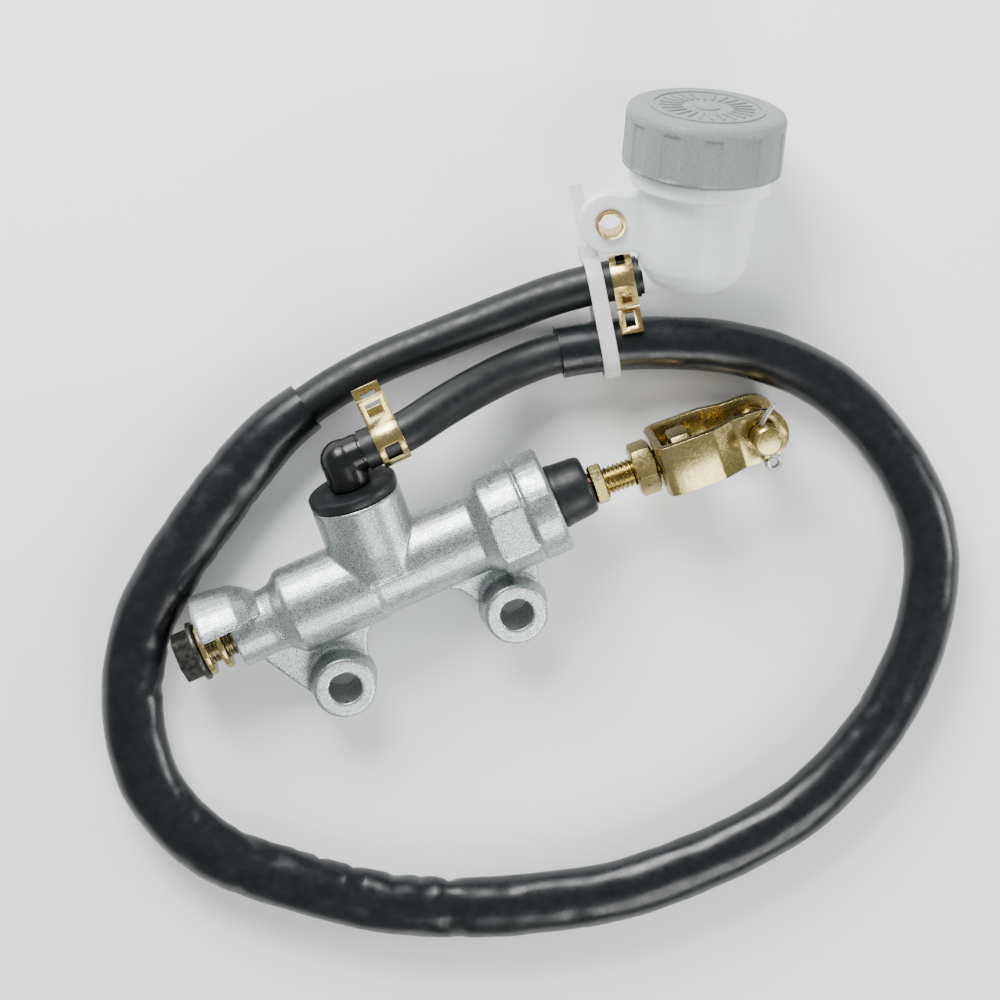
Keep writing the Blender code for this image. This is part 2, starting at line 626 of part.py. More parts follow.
def hose_clamp(name, axis, width):
    """A spring band with window slots, and two upright window-frame ears on its +Y side."""
    inner, thick = HOSE_RADIUS + 0.4, 0.8
    band = put(turned(name, tube_profile(inner + thick, inner, -width / 2, width / 2), 32, yellow_zinc, ring=True),
               axis)
    for side in (-1, 1):
        outline = [(-width / 2, 0), (width / 2, 0), (width / 2, 9.5), (-width / 2, 9.5)]
        window = [(-width / 2 + 1.7, 3.4), (width / 2 - 1.7, 3.4), (width / 2 - 1.7, 7.7), (-width / 2 + 1.7, 7.7)]
        ear = plate(f"{name}_ear_{side + 2}", [outline, window], thick)
        put(ear, axis, (side * 3.0, inner - 0.6, 0), (0, 90, side * -14))
        join(band, ear)
    bore = put(cylinder(name + "_bore", inner, -width, width, 32), axis)
    cut(band, bore)
    for side in (-1, 1):
        slot = box(f"{name}_slot_{side + 2}", (4, 4.2, width - 3.6))
        put(slot, axis, (side * (inner + 0.4), -1.5, 0))
        cut(band, slot)


def belt(first, second, spacing, steps=8):
    """The outline of a belt round two circles, the second one away along x."""
    contact = math.degrees(math.acos((first - second) / spacing))
    return (arc((0, 0), first, contact, 360 - contact, steps)
            + arc((spacing, 0), second, -contact, contact, steps))


def cable_tie(origin, points):
    total = sum((second - first).length for first, second in zip(points, points[1:]))
    hose_place, _ = along(points, total - TIE_FROM_END)
    sleeve_place, _ = along(points, TIE_FROM_START)
    reach = sleeve_place - hose_place
    across = reach.cross(Vector((0, 0, 1)))
    axis = frame_on("tie_axis", origin, hose_place, across, reach.cross(across) * -1)
    spacing = reach.length
    inner = belt(HOSE_RADIUS + 0.45, SLEEVE_OUTER + 0.45, spacing)
    outer = belt(HOSE_RADIUS + 1.65, SLEEVE_OUTER + 1.65, spacing)
    band = put(plate("cable_tie", [outer, inner], 4.2, milky_plastic), axis)
    join(band, put(box("tie_head", (4.4, 4.4, 5.0)), axis, (-8.2, -3.4, 0)))
    join(band, put(box("tie_tail", (17.0, 1.0, 3.4)), axis, (-18.0, -3.9, 0)))


# ---------------------------------------------------------------- assembly

def place_origin(origin, on_the_cord):
    """Moves everything so that the origin is under the middle of the object, without its cord."""
    bpy.context.view_layer.update()
    graph = bpy.context.evaluated_depsgraph_get()
    low, high = Vector((9, 9, 9)), Vector((-9, -9, -9))
    for obj in collection(COLLECTION).objects:
        if obj.type != "MESH" or obj.name in on_the_cord:
            continue
        shape = obj.evaluated_get(graph)
        for vertex in shape.data.vertices:
            place = shape.matrix_world @ vertex.co
            low = Vector(map(min, low, place))
            high = Vector(map(max, high, place))
    origin.location = (-(low.x + high.x) / 2, -(low.y + high.y) / 2, -low.z)


def main():
    clear_scene()
    origin = empty("part_origin", None)
    cylinder_axis = empty("cylinder_axis", origin, (0, 0, BIG_END_RADIUS), (ROLL, 0, 0))
    inlet_axis = empty("inlet_axis", cylinder_axis, (INLET_S, INLET_FOOT, 0), (-90, 0, -INLET_LEAN))
    cylinder_body(cylinder_axis, inlet_axis)
    inlet_fittings(cylinder_axis, inlet_axis)
    pieces_in_the_bore(cylinder_axis)
    dust_boot(cylinder_axis)
    outlet_bolt(cylinder_axis)
    rod_axis = empty("pushrod_axis", cylinder_axis, (BALL_S, 0, 0), (0, 0, ROD_DROOP))
    pushrod(rod_axis)
    clevis(rod_axis)
    clevis_pin(empty("clevis_pin_axis", rod_axis, (PIN_X, 0, 0)))
    reservoir_axis = empty("reservoir_axis", origin, RESERVOIR_AT, RESERVOIR_TURN)
    reservoir_body(reservoir_axis)
    reservoir_closure(reservoir_axis)
    points = cord(origin)
    inlet_place, inlet_run = along(points, 7.2)
    up = Vector((0, math.cos(math.radians(ROLL)), math.sin(math.radians(ROLL))))
    hose_clamp("hose_clamp_inlet", frame_on("inlet_clamp_axis", origin, inlet_place, inlet_run, up), 7.6)
    run = (points[-1] - points[-2]).normalized()
    end_place = points[-1] - run * 4.2
    outward = Vector((0.2, -0.75, 0.65))
    hose_clamp("hose_clamp_reservoir", frame_on("reservoir_clamp_axis", origin, end_place, run, outward), 6.0)
    cable_tie(origin, points)
    place_origin(origin, ("fluid_hose", "protective_sleeve", "cable_tie", "hose_clamp_inlet",
                          "hose_clamp_reservoir"))
    bpy.context.view_layer.update()


main()
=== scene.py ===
"""The looks of the rear brake master cylinder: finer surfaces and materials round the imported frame."""
import json
import math
import random

import bmesh
import bpy
import numpy as np
from mathutils import Matrix, Vector, noise


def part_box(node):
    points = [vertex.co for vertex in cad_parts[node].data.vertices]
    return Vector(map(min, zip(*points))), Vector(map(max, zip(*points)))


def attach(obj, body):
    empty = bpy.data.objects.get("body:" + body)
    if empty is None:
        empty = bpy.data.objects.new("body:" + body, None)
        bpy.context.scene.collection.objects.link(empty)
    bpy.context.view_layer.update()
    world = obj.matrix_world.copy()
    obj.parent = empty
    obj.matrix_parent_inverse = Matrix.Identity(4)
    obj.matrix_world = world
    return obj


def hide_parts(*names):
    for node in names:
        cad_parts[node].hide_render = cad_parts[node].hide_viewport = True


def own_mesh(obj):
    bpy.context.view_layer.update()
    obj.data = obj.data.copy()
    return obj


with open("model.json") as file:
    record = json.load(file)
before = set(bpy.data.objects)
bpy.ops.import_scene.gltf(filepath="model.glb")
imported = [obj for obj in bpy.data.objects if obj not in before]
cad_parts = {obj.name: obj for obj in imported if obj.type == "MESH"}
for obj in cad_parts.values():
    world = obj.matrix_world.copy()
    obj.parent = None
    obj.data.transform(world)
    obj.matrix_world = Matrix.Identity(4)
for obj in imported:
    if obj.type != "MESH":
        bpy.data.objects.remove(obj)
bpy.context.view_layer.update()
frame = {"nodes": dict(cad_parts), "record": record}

MM = 0.001
WELD, CAD_WELD = 0.0000005, 0.000002
CAMERA_ROLL, CAMERA_LEAN, CAMERA_LENS, CAMERA_DISTANCE = 23.3, 6.5, 94.5, 0.7
BORE_HEIGHT = 14.6
PISTON_END = 35.0
ROLL = 14.5917
INLET_START, INLET_TOP, GROMMET_GAP = 6.0, 22.9, 0.3
BALL_S, BALL_RADIUS, ROD_RADIUS, ROD_DROOP = 36.0, 4.0, 3.9, -3.5
GRIP_ACROSS, CAP_RIBS, CURVE_STEPS = 10, 24, 12
ROD_END, THREAD_START, THREAD_PITCH = 53.0, 24.7, 1.25
BOLT_THREAD_START, BOLT_THREAD_END = -55.8, -38.4
HOSE_RADIUS, SLEEVE_RADIUS, SLEEVE_BORE = 5.5, 7.0, 5.95
SLEEVE_WALL, SLEEVE_SPREAD, SLEEVE_DROP, ROUND_END = 0.35, 1.35, 0.35, 25
CREASE_SLANT, RIPPLE_LENGTH, RIPPLE_HEIGHT = 1.5, 7, 0.22
CORD_STEP, FINE_STEP = 12.0, 2.0
SLEEVE_FIRST, SLEEVE_LAST = 5, 8
CAP_TOP = 49.0
CORD_ROUTE = [
    (5.2, 32.4, 22.8), (15.5, 32.5, 22.6), (25.5, 34.0, 20.2), (43.2, 35.6, 14.0), (54.9, 35.5, 10.0),
    (63.7, 34.6, 9.6), (80.0, 30.0, 9.4), (96.3, 23.0, 8.6), (113.1, 12.5, 7.7), (127.6, -4.0, 7.6),
    (136.0, -27.5, 7.6), (136.4, -50.8, 7.6), (126.4, -71.8, 7.6), (110.7, -88.3, 7.6),
    (92.4, -99.8, 7.6), (73.3, -106.7, 7.6), (54.4, -108.9, 7.6), (36.9, -108.9, 7.6),
    (20.3, -107.5, 7.6), (4.6, -103.4, 7.6), (-11.1, -98.4, 7.6), (-27.0, -91.5, 7.6),
    (-43.2, -82.1, 7.6), (-59.2, -69.2, 7.6), (-76.1, -52.4, 7.6), (-84.1, -30.2, 7.6),
    (-79.8, -6.8, 7.6), (-67.2, 12.8, 7.6), (-49.5, 26.4, 7.6), (-32.2, 36.8, 7.6),
    (-15.7, 45.0, 7.6), (1.5, 49.3, 7.0), (18.4, 50.9, 6.4), (35.0, 50.6, 6.4), (51.8, 50.2, 7.5),
    (67.0, 49.6, 10.0), (80.7, 47.6, 11.4), (90.4, 45.3, 12.1),
]


def turn(axis, degrees):
    return Matrix.Rotation(math.radians(degrees), 4, axis)


def move(x, y, z):
    return Matrix.Translation(Vector((x, y, z)) * MM)


low, high = (Vector(corner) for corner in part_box("piston"))
ORIGIN = Matrix.Translation((high.x - PISTON_END * MM, (low.y + high.y) / 2,
                             (low.z + high.z) / 2 - BORE_HEIGHT * MM))
CYLINDER = ORIGIN @ move(0, 0, BORE_HEIGHT) @ turn("X", ROLL)
ROD = CYLINDER @ move(BALL_S, 0, 0) @ turn("Z", ROD_DROOP)
RESERVOIR = ORIGIN @ move(101.8, 37.5, 11.5) @ turn("Z", -26.5) @ turn("X", -72)
INLET = CYLINDER @ move(-2.9, INLET_START, 0) @ turn("Z", -4) @ turn("X", -90)
ALONG_X = turn("Y", 90)


# ---------------------------------------------------------------- camera, lights and floor

def make_camera():
    """Almost straight down, turned so that the bore climbs to the right."""
    roll, lean = math.radians(CAMERA_ROLL), math.radians(CAMERA_LEAN)
    target = ORIGIN @ Vector((33.0 * MM, 5.2 * MM, BORE_HEIGHT * MM))
    away = Vector((0, math.sin(lean), math.cos(lean)))
    across = Vector((0, math.cos(lean), -math.sin(lean)))
    right = Vector((math.cos(roll), 0, 0)) - across * math.sin(roll)
    up = Vector((math.sin(roll), 0, 0)) + across * math.cos(roll)
    camera = bpy.data.objects.new("camera", bpy.data.cameras.new("camera"))
    bpy.context.scene.collection.objects.link(camera)
    camera.data.lens = CAMERA_LENS
    camera.data.sensor_width = 36
    camera.data.clip_start = 0.01
    place = Matrix((right, up, away)).transposed().to_4x4()
    place.translation = target + away * CAMERA_DISTANCE
    camera.matrix_world = place
    bpy.context.scene.camera = camera
    return right, up, away, target


def area_light(name, place, target, size, power):
    light = bpy.data.lights.new(name, "AREA")
    light.size = size
    light.energy = power
    made = bpy.data.objects.new(name, light)
    bpy.context.scene.collection.objects.link(made)
    made.location = place
    made.rotation_euler = (target - place).to_track_quat("-Z", "Y").to_euler()


def studio():
    right, up, away, target = make_camera()
    area_light("key_light", target + up * 0.6 + away * 0.55 - right * 0.25, target, 0.42, 17)
    area_light("fill_light", target - up * 0.75 + away * 0.5 + right * 0.4, target, 0.5, 7)
    area_light("rim_light", target + right * 0.9 + away * 0.3, target, 0.3, 5)
    world = bpy.data.worlds.new("studio")
    world.use_nodes = True
    background = world.node_tree.nodes["Background"]
    background.inputs["Color"].default_value = (0.93, 0.96, 0.97, 1)
    background.inputs["Strength"].default_value = 0.5
    bpy.context.scene.world = world
    mesh = bpy.data.meshes.new("floor")
    bm = bmesh.new()
    bmesh.ops.create_grid(bm, x_segments=1, y_segments=1, size=3.0)
    bm.to_mesh(mesh)
    bm.free()
    floor = bpy.data.objects.new("floor", mesh)
    bpy.context.scene.collection.objects.link(floor)
    floor.location.z = -0.0003
    mesh.materials.append(plain_floor())


# ---------------------------------------------------------------- materials

def shader(name, colour, roughness, metallic=0.0):
    made = bpy.data.materials.new(name)
    made.use_nodes = True
    principled = made.node_tree.nodes["Principled BSDF"]
    principled.inputs["Base Color"].default_value = (*colour, 1)
    principled.inputs["Roughness"].default_value = roughness
    principled.inputs["Metallic"].default_value = metallic
    return made, made.node_tree, principled


def noise_node(tree, scale, detail=3.0, stretch=None):
    place = tree.nodes.new("ShaderNodeTexCoord")
    texture = tree.nodes.new("ShaderNodeTexNoise")
    texture.inputs["Scale"].default_value = scale
    texture.inputs["Detail"].default_value = detail
    source = place.outputs["Object"]
    if stretch:
        mapping = tree.nodes.new("ShaderNodeMapping")
        mapping.inputs["Scale"].default_value = stretch
        tree.links.new(source, mapping.inputs["Vector"])
        source = mapping.outputs["Vector"]
    tree.links.new(source, texture.inputs["Vector"])
    return texture.outputs["Fac"]


def ramp(tree, source, stops):
    made = tree.nodes.new("ShaderNodeValToRGB")
    elements = made.color_ramp.elements
    while len(elements) < len(stops):
        elements.new(0.5)
    for element, (position, colour) in zip(elements, stops):
        element.position = position
        element.color = (*colour, 1) if len(colour) == 3 else (colour[0], colour[0], colour[0], 1)
    tree.links.new(source, made.inputs["Fac"])
    return made.outputs["Color"]


def rough(tree, principled, source, smallest, largest):
    tree.links.new(ramp(tree, source, [(0.3, (smallest,)), (0.7, (largest,))]),
                   principled.inputs["Roughness"])


def bump(tree, principled, source, height, strength=1.0):
    made = tree.nodes.new("ShaderNodeBump")
    made.inputs["Distance"].default_value = height * MM
    made.inputs["Strength"].default_value = strength
    tree.links.new(source, made.inputs["Height"])
    tree.links.new(made.outputs["Normal"], principled.inputs["Normal"])


def plain_floor():
    return shader("pale_floor", (0.97, 0.975, 0.975), 0.9)[0]


def cast_aluminium():
    """Bright blasted casting: a salt-and-pepper sparkle, and a few duller patches."""
    made, tree, principled = shader("cast_aluminium", (0.7, 0.74, 0.73), 0.4, 0.92)
    speckle = noise_node(tree, 3600, 2)
    tree.links.new(ramp(tree, speckle, [(0.34, (0.1, 0.115, 0.115)), (0.45, (0.34, 0.375, 0.37)),
                                        (0.58, (0.5, 0.54, 0.53)), (0.72, (0.85, 0.88, 0.87))]),
                   principled.inputs["Base Color"])
    rough(tree, principled, noise_node(tree, 500, 3), 0.26, 0.42)
    bump(tree, principled, noise_node(tree, 2600, 3), 0.08)
    return made


def machined(name, colour, roughness):
    made, tree, principled = shader(name, colour, roughness, 1.0)
    dark = tuple(value * 0.75 for value in colour)
    tree.links.new(ramp(tree, noise_node(tree, 900, 4), [(0.3, dark), (0.65, colour)]),
                   principled.inputs["Base Color"])
    rough(tree, principled, noise_node(tree, 1500, 2), roughness - 0.08, roughness + 0.12)
    bump(tree, principled, noise_node(tree, 2500, 2), 0.015)
    return made


def yellow_zinc():
    """Yellow passivation: straw to olive, with faint pink and green bands."""
    made, tree, principled = shader("yellow_zinc", (0.72, 0.62, 0.33), 0.26, 1.0)
    bands = noise_node(tree, 75, 2)
    tree.links.new(ramp(tree, bands, [(0.3, (0.3, 0.25, 0.09)), (0.42, (0.38, 0.3, 0.11)),
                                      (0.52, (0.44, 0.35, 0.15)), (0.6, (0.36, 0.3, 0.12)),
                                      (0.7, (0.42, 0.27, 0.13))]),
                   principled.inputs["Base Color"])
    rough(tree, principled, noise_node(tree, 1300, 3), 0.16, 0.32)
    bump(tree, principled, noise_node(tree, 1800, 2), 0.02)
    return made


def dark_oxide():
    made, tree, principled = shader("dark_oxide", (0.06, 0.06, 0.058), 0.36, 0.8)
    tree.links.new(ramp(tree, noise_node(tree, 700, 4), [(0.35, (0.02, 0.02, 0.02)),
                                                         (0.7, (0.09, 0.088, 0.075))]),
                   principled.inputs["Base Color"])
    rough(tree, principled, noise_node(tree, 1100, 3), 0.28, 0.5)
    bump(tree, principled, noise_node(tree, 2000, 2), 0.02)
    return made


def black_soft(name, colour, smallest, largest, coat=0.0, grain=0.02):
    made, tree, principled = shader(name, colour, (smallest + largest) / 2)
    pale = tuple(value * 1.9 for value in colour)
    tree.links.new(ramp(tree, noise_node(tree, 260, 4), [(0.35, colour), (0.72, pale)]),
                   principled.inputs["Base Color"])
    rough(tree, principled, noise_node(tree, 420, 4), smallest, largest)
    bump(tree, principled, noise_node(tree, 1500, 3), grain)
    principled.inputs["Specular IOR Level"].default_value = 0.32
    principled.inputs["Coat Weight"].default_value = coat
    principled.inputs["Coat Roughness"].default_value = 0.2
    return made


def milky_plastic():
    made, tree, principled = shader("milky_plastic", (0.86, 0.87, 0.84), 0.36)
    tree.links.new(ramp(tree, noise_node(tree, 90, 3), [(0.3, (0.7, 0.755, 0.75)),
                                                        (0.7, (0.8, 0.84, 0.835))]),
                   principled.inputs["Base Color"])
    rough(tree, principled, noise_node(tree, 600, 3), 0.28, 0.46)
    bump(tree, principled, noise_node(tree, 900, 3), 0.03)
    principled.inputs["Subsurface Weight"].default_value = 0.35
    principled.inputs["Subsurface Scale"].default_value = 0.004
    return made


def clear_nylon():
    made, tree, principled = shader("clear_nylon", (0.88, 0.89, 0.87), 0.3)
    rough(tree, principled, noise_node(tree, 800, 3), 0.22, 0.4)
    principled.inputs["Transmission Weight"].default_value = 0.45
    principled.inputs["IOR"].default_value = 1.5
    bump(tree, principled, noise_node(tree, 600, 2), 0.05)
    return made


def grey_plastic():
    made, tree, principled = shader("grey_plastic", (0.2, 0.21, 0.215), 0.55)
    tree.links.new(ramp(tree, noise_node(tree, 3000, 2), [(0.35, (0.15, 0.165, 0.165)),
                                                          (0.68, (0.24, 0.26, 0.258))]),
                   principled.inputs["Base Color"])
    rough(tree, principled, noise_node(tree, 700, 3), 0.45, 0.62)
    bump(tree, principled, noise_node(tree, 3200, 2), 0.04)
    return made


# ---------------------------------------------------------------- mesh helpers

def add(name, mesh, material, nodes, body="root"):
    """A finished piece in place of some CAD nodes, riding on their body."""
    made = bpy.data.objects.new(name, mesh)
    bpy.context.scene.collection.objects.link(made)
    mesh.materials.clear()
    mesh.materials.append(material)
    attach(made, body)
    if nodes:
        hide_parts(*nodes)
    return made


def clean_copy(node):
    """The CAD node's mesh, welded and with its flat faces made whole."""
    mesh = frame["nodes"][node].data.copy()
    bm = bmesh.new()
    bm.from_mesh(mesh)
    bmesh.ops.remove_doubles(bm, verts=bm.verts, dist=CAD_WELD)
    bmesh.ops.dissolve_limit(bm, angle_limit=math.radians(1), verts=bm.verts, edges=bm.edges)
    bm.to_mesh(mesh)
    bm.free()
    return mesh


def evaluated(obj):
    """The object's mesh with its modifiers applied, and the object itself removed."""
    bpy.context.view_layer.update()
    mesh = bpy.data.meshes.new_from_object(obj.evaluated_get(bpy.context.evaluated_depsgraph_get()))
    bpy.data.objects.remove(obj, do_unlink=True)
    return mesh


def moulded(node, voxel, passes, factor=0.5):
    """A rounded, blended skin over a CAD node, as casting or moulding leaves it."""
    work = bpy.data.objects.new("work", clean_copy(node))
    bpy.context.scene.collection.objects.link(work)
    remesh = work.modifiers.new("skin", "REMESH")
    remesh.mode = "VOXEL"
    remesh.voxel_size = voxel * MM
    soften = work.modifiers.new("soften", "SMOOTH")
    soften.iterations = passes
    soften.factor = factor
    mesh = evaluated(work)
    mesh.shade_smooth()
    return mesh


def crisp(node, width, segments=2):
    """The CAD node with its sharp edges broken by a small bevel."""
    work = bpy.data.objects.new("work", clean_copy(node))
    bpy.context.scene.collection.objects.link(work)
    edge = work.modifiers.new("edge", "BEVEL")
    edge.width = width * MM
    edge.segments = segments
    edge.limit_method = "ANGLE"
    edge.angle_limit = math.radians(32)
    mesh = evaluated(work)
    mesh.shade_smooth()
    mesh.set_sharp_from_angle(angle=math.radians(38))
    return mesh


def skin(bm, rings, closed_ring=True):
    """Faces between rings of vertices, each ring as long as the next."""
    for first, second in zip(rings, rings[1:]):
        count = len(first)
        for index in range(count if closed_ring else count - 1):
            after = (index + 1) % count
            bm.faces.new((first[index], first[after], second[after], second[index]))


def finish_mesh(name, bm, sharp=None):
    bmesh.ops.recalc_face_normals(bm, faces=bm.faces)
    mesh = bpy.data.meshes.new(name)
    bm.to_mesh(mesh)
    bm.free()
    mesh.shade_smooth()
    if sharp:
        mesh.set_sharp_from_angle(angle=math.radians(sharp))
    return mesh


def lathe(name, profile, place, sides=96, sharp=35, ring=False):
    """A (radius, height) profile in millimetres, turned about the Z of a place."""
    bm = bmesh.new()
    rings = []
    for radius, height in profile:
        rings.append([bm.verts.new(place @ Vector((radius * math.cos(a) * MM, radius * math.sin(a) * MM,
                                                   height * MM)))
                      for a in (2 * math.pi * step / sides for step in range(sides))])
    skin(bm, rings + [rings[0]] if ring else rings)
    bmesh.ops.remove_doubles(bm, verts=bm.verts, dist=WELD)
    return finish_mesh(name, bm, sharp)


def joined(name, meshes):
    bm = bmesh.new()
    for mesh in meshes:
        bm.from_mesh(mesh)
    made = bpy.data.meshes.new(name)
    bm.to_mesh(made)
    bm.free()
    return made


# ---------------------------------------------------------------- hose and sleeve

def along(points, distance):
    for first, second in zip(points, points[1:]):
        run = second - first
        if distance <= run.length:
            return first + run.normalized() * distance
        distance -= run.length
    return points[-1]


def smooth_route(route, spacing):
    knots = [Vector(point) for point in route]
    ends = [knots[0] * 2 - knots[1]] + knots + [knots[-1] * 2 - knots[-2]]
    fine = []
    for before, start, end, after in zip(ends, ends[1:], ends[2:], ends[3:]):
        for step in range(CURVE_STEPS):
            t = step / CURVE_STEPS
            fine.append(0.5 * ((2 * start) + (end - before) * t
                               + (2 * before - 5 * start + 4 * end - after) * t ** 2
                               + (3 * start - before - 3 * end + after) * t ** 3))
    fine.append(knots[-1])
    total = sum((second - first).length for first, second in zip(fine, fine[1:]))
    count = round(total / spacing)
    return [along(fine, total * index / count) for index in range(count)] + [knots[-1]], total


def make_hose(points, material):
    curve = bpy.data.curves.new("hose", "CURVE")
    curve.dimensions = "3D"
    curve.bevel_depth = HOSE_RADIUS * MM
    curve.bevel_resolution = 8
    curve.use_fill_caps = True
    spline = curve.splines.new("POLY")
    spline.points.add(len(points) - 1)
    for point, place in zip(spline.points, points):
        point.co = (*(ORIGIN @ (place * MM)), 1)
    spline.use_smooth = True
    curve.materials.append(material)
    hose = bpy.data.objects.new("hose", curve)
    bpy.context.scene.collection.objects.link(hose)
    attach(hose, "root")
    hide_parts("fluid_hose")
    return hose


def make_sleeve(points, material):
    """A loose vinyl tube: round near its start, and flattened and creased round the tight bends."""
    draw = random.Random(7)
    length = (len(points) - 1) * FINE_STEP
    creases = []
    for count, start, end, deepest in ((26, 0.58, 0.86, 1.35), (12, 0.86, 0.97, 0.7), (14, 0.12, 0.58, 0.45)):
        for _ in range(count):
            place = draw.uniform(start, end) * length
            towards = draw.uniform(-0.6, 2.6)
            depth = draw.uniform(0.35, 1.0) * deepest
            width = draw.uniform(0.9, 2.2)
            spread = draw.uniform(0.4, 0.9)
            creases.append((place, towards, depth, width, spread))
    sides, up = 40, Vector((0, 0, 1))
    bm = bmesh.new()
    outer, inner = [], []
    for index, here in enumerate(points):
        run = (points[min(index + 1, len(points) - 1)] - points[max(index - 1, 0)]).normalized()
        side = run.cross(up).normalized()
        top = side.cross(run)
        s = index * FINE_STEP
        open_end = min(1.0, min(s, length - s) / ROUND_END)
        flat = (0.05 + 0.95 * min(1.0, s / (0.5 * length)) ** 1.5) * open_end
        ring, bore = [], []
        for step in range(sides):
            angle = 2 * math.pi * step / sides
            wide = SLEEVE_RADIUS + SLEEVE_SPREAD * flat
            tall = SLEEVE_RADIUS - SLEEVE_DROP * flat
            dent = 0.0
            for place, towards, depth, width, spread in creases:
                if abs(s - place) < 3 * width:
                    turned = math.remainder(angle - towards, 2 * math.pi)
                    slanted = (s - place + CREASE_SLANT * turned) / width
                    dent += depth * math.exp(-slanted ** 2 - (turned / spread) ** 2)
            spot = Vector((s / RIPPLE_LENGTH, math.cos(angle) * 1.3, math.sin(angle) * 1.3))
            ripple = noise.noise(spot) * RIPPLE_HEIGHT * open_end
            x, z = (wide - dent + ripple) * math.cos(angle), (tall - dent * 0.6 + ripple) * math.sin(angle)
            reach = math.hypot(x, z)
            least = SLEEVE_BORE + SLEEVE_WALL
            if reach < least:
                x, z = x * least / reach, z * least / reach
            ring.append(bm.verts.new(ORIGIN @ ((here + side * x + top * z) * MM)))
            bore.append(bm.verts.new(ORIGIN @ ((here + side * SLEEVE_BORE * math.cos(angle)
                                                + top * SLEEVE_BORE * math.sin(angle)) * MM)))
        outer.append(ring)
        inner.append(bore)
    skin(bm, outer + inner[::-1] + [outer[0]])
    return add("sleeve", finish_mesh("sleeve", bm, 50), material, ["protective_sleeve"])


# ---------------------------------------------------------------- pieces

def make_pushrod(material):
    """Ball, neck and plain shank, a hexagon to hold it by, and a rolled thread."""
    ball = [(BALL_RADIUS * math.sin(math.radians(a)), -BALL_RADIUS * math.cos(math.radians(a)))
            for a in range(0, 140, 10)]
    shank = ball + [(2.6, 3.1), (2.6, 8.2), (ROD_RADIUS, 9.5), (ROD_RADIUS, 20.6), (3.4, 21.2)]
    shape = [lathe("shank", shank[::-1], ROD @ ALONG_X, 48)]
    bm = bmesh.new()
    corner = GRIP_ACROSS / math.sqrt(3)
    rings = []
    for x, scale in ((21.0, 0.0), (21.0, 0.9), (21.5, 1.0), (24.2, 1.0), (24.7, 0.9), (24.7, 0.0)):
        rings.append([bm.verts.new(ROD @ Vector((x * MM, corner * scale * math.cos(a) * MM,
                                                 corner * scale * math.sin(a) * MM)))
                      for a in (math.pi / 3 * k for k in range(6))])
    skin(bm, rings)
    bmesh.ops.remove_doubles(bm, verts=bm.verts, dist=WELD)
    shape.append(finish_mesh("grip", bm, 30))
    shape.append(thread(ROD, THREAD_START - 0.1, ROD_END, ROD_RADIUS, 0.62, THREAD_PITCH))
    add("pushrod_fine", joined("pushrod_fine", shape), material, ["pushrod"], "rod")


def thread(place, start, end, outer, depth, pitch, sides=48):
    """A rolled thread along the X of a place, tapered at its far end."""
    bm = bmesh.new()
    step = pitch / 8
    count = int((end - start) / step)
    rings = []
    for index in range(count + 1):
        x = start + index * step
        taper = max(0.0, 1 - (count - index) * step)
        ring = []
        for k in range(sides):
            angle = 2 * math.pi * k / sides
            phase = (x / pitch - angle / (2 * math.pi)) % 1.0
            radius = outer - depth * abs(2 * phase - 1) ** 1.2 - 0.5 * taper
            ring.append(bm.verts.new(place @ Vector((x * MM, radius * math.cos(angle) * MM,
                                                     radius * math.sin(angle) * MM))))
        rings.append(ring)
    skin(bm, rings)
    for ring in (rings[0], rings[-1]):
        bm.faces.new(ring)
    return finish_mesh("thread", bm, 60)


def make_boot(material):
    """The dust boot with a rounded lip."""
    outside = [(8.65, 46.6), (8.85, 47.1), (8.8, 47.8), (8.6, 48.6), (8.45, 50.5), (8.3, 52.5), (8.2, 54.2)]
    lip = [(8.0 - 1.6 * (1 - math.cos(math.radians(a))), 55.0 + 1.6 * math.sin(math.radians(a)))
           for a in range(0, 91, 15)]
    inside = [(6.0, 56.6), (5.9, 56.2), (6.0, 55.4), (6.5, 54.6), (6.5, 43), (8.6, 43)]
    mesh = lathe("boot_fine", outside + lip + inside, CYLINDER @ ALONG_X, 96, 50, ring=True)
    boot = add("boot_fine", mesh, material, ["dust_boot"], "root")
    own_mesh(boot)


def make_spring(material):
    """The return spring, a welded copy of the CAD node's mesh."""
    spring = add("spring_fine", clean_copy("return_spring"), material, ["return_spring"], "root")
    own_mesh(spring)


def make_cap_pattern(material):
    """A plain raised ring and short ribs on the cap's top."""
    top = CAP_TOP - 0.15
    shape = [
        lathe("ring", [(15.2, top), (15.2, top + 0.45), (14.9, top + 0.6), (14.4, top + 0.6),
                       (14.1, top + 0.45), (14.1, top)], RESERVOIR, 96, 40, ring=True),
        lathe("button", [(0.0, top), (0.0, top + 0.6), (3.0, top + 0.6), (3.3, top + 0.4), (3.3, top)],
              RESERVOIR, 64, 40),
    ]
    for index in range(CAP_RIBS):
        bm = bmesh.new()
        bmesh.ops.create_cube(bm, size=1.0)
        bmesh.ops.scale(bm, vec=(6.0 * MM, 0.9 * MM, 0.7 * MM), verts=bm.verts)
        bmesh.ops.bevel(bm, geom=list(bm.edges), offset=0.2 * MM, segments=2, affect="EDGES")
        bm.transform(RESERVOIR @ turn("Z", index * 360 / CAP_RIBS) @ move(9.6, 0, top + 0.15))
        shape.append(finish_mesh("rib", bm, 40))
    add("cap_pattern", joined("cap_pattern", shape), material, [], "cap")


def make_grommet(material):
    """The rubber collar that seals the elbow in the inlet boss."""
    foot = INLET_TOP - INLET_START + GROMMET_GAP
    profile = [(11.4, foot + 2.75), (11.8, foot + 2.65), (12.05, foot + 2.3), (12.05, foot + 0.5),
               (11.8, foot), (8.6, foot), (8.6, foot - 7.5), (4.5, foot - 7.5), (4.5, foot + 2.5),
               (4.8, foot + 2.75)]
    add("grommet_fine", lathe("grommet_fine", profile, INLET, 96, 40, ring=True), material, ["inlet_grommet"],
        "root")


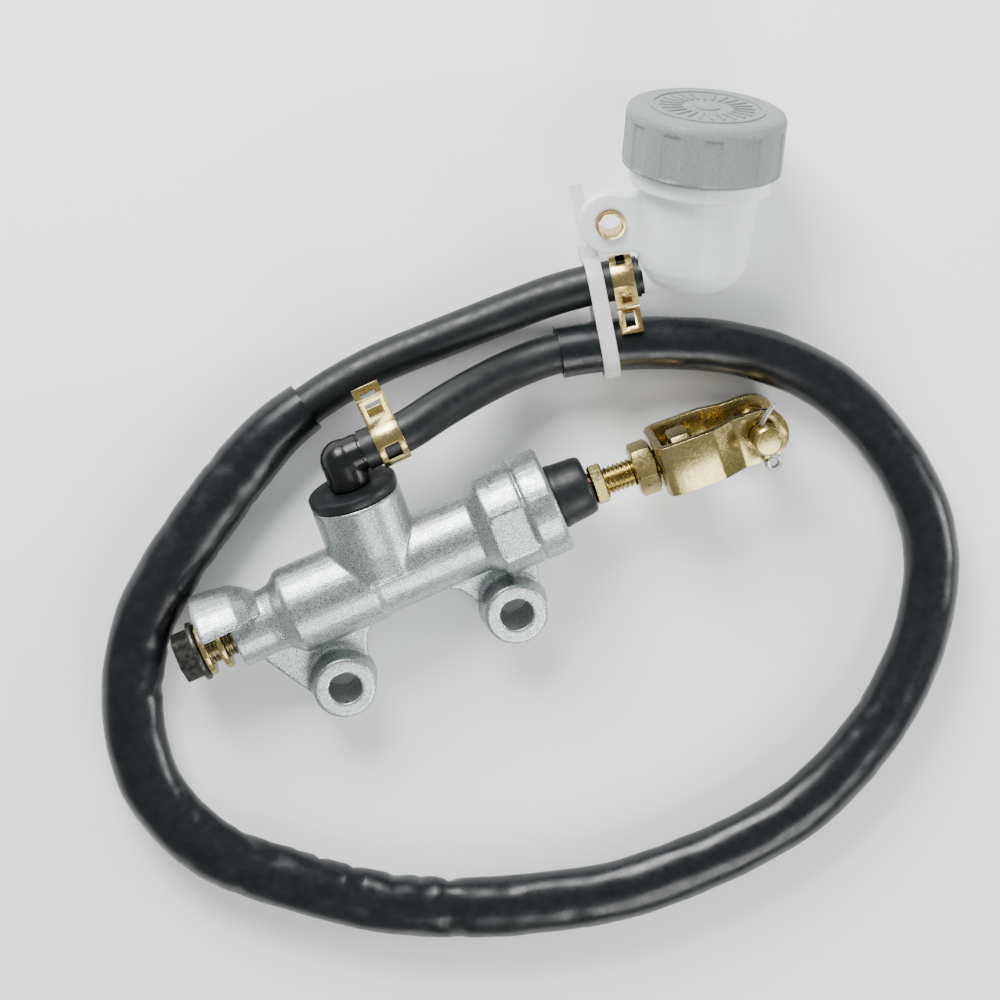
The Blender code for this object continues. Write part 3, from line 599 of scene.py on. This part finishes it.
BODY_OF = {node: body for body, nodes in frame["record"]["behaviour"]["bodies"].items() for node in nodes}


def crisp_pieces(material, widths):
    for node, width in widths.items():
        add(node + "_fine", crisp(node, width), material, [node], BODY_OF[node])


def moulded_pieces(material, settings):
    for node, (voxel, passes) in settings.items():
        add(node + "_fine", moulded(node, voxel, passes), material, [node], BODY_OF[node])


def repaint(material, nodes):
    """Pieces whose CAD shape is right keep it, with a better finish."""
    for node in nodes:
        mesh_object = frame["nodes"][node]
        for index in range(len(mesh_object.material_slots)):
            mesh_object.material_slots[index].material = material


def main():
    studio()
    rubber = black_soft("black_rubber", (0.004, 0.0052, 0.0055), 0.34, 0.52)
    vinyl = black_soft("vinyl", (0.0028, 0.0042, 0.0048), 0.24, 0.38, coat=0.08, grain=0.008)
    black_plastic = black_soft("black_plastic", (0.003, 0.0034, 0.0034), 0.2, 0.34)
    points, total = smooth_route(CORD_ROUTE, CORD_STEP)
    fine, _ = smooth_route([tuple(point) for point in points], FINE_STEP)
    hose = make_hose(fine, rubber)
    first, last = SLEEVE_FIRST * CORD_STEP, SLEEVE_LAST * CORD_STEP
    covered = fine[round(first / FINE_STEP):-round(last / FINE_STEP)]
    sleeve = make_sleeve(covered, vinyl)

    zinc, steel = yellow_zinc(), machined("steel", (0.62, 0.62, 0.61), 0.3)
    grey, milky = grey_plastic(), milky_plastic()
    moulded_pieces(cast_aluminium(), {"cylinder_body": (0.4, 3)})
    moulded_pieces(milky, {"reservoir_body": (0.4, 3)})
    moulded_pieces(grey, {"reservoir_cap": (0.35, 2)})
    moulded_pieces(black_plastic, {"inlet_elbow": (0.35, 5)})
    make_cap_pattern(grey)
    make_grommet(rubber)
    make_boot(rubber)
    make_pushrod(zinc)
    make_spring(steel)
    crisp_pieces(zinc, {"clevis": 0.35, "clevis_pin": 0.15, "lock_nut": 0.15,
                                       "clevis_nut": 0.15, "hose_clamp_inlet": 0.12,
                                       "hose_clamp_reservoir": 0.12})
    crisp_pieces(zinc, {"seal_washer_outer": 0.2, "seal_washer_inner": 0.2})
    crisp_pieces(steel, {"cotter_pin": 0.05})
    crisp_pieces(dark_oxide(), {"banjo_bolt": 0.25})
    bolt_thread = thread(CYLINDER, BOLT_THREAD_START, BOLT_THREAD_END, 5.0, 0.55, THREAD_PITCH)
    add("bolt_thread", bolt_thread, zinc, [], "bolt")
    barb = [(2.0, -1.0), (4.9, -1.0), (4.9, 1.6), (2.0, 1.6)]
    for name, index, heading in (("inlet_barb", 0, 1), ("spigot_barb", -1, -1)):
        run = (fine[1] - fine[0]) if heading > 0 else (fine[-2] - fine[-1])
        facing = run.to_track_quat("Z", "Y").to_matrix().to_4x4()
        place = ORIGIN @ Matrix.Translation(fine[index] * MM) @ facing
        add(name, lathe(name, barb, place, 48, 40, ring=True), black_plastic, [])
    crisp_pieces(clear_nylon(), {"cable_tie": 0.2})
    crisp_pieces(machined("bush_brass", (0.75, 0.55, 0.24), 0.28), {"reservoir_bush": 0.12})
    repaint(steel, ["circlip", "spring_seat", "stop_washer"])
    repaint(machined("turned_aluminium", (0.75, 0.76, 0.77), 0.32), ["piston"])
    repaint(rubber, ["primary_cup", "secondary_cup", "diaphragm"])
    repaint(milky, ["slip_plate"])


main()
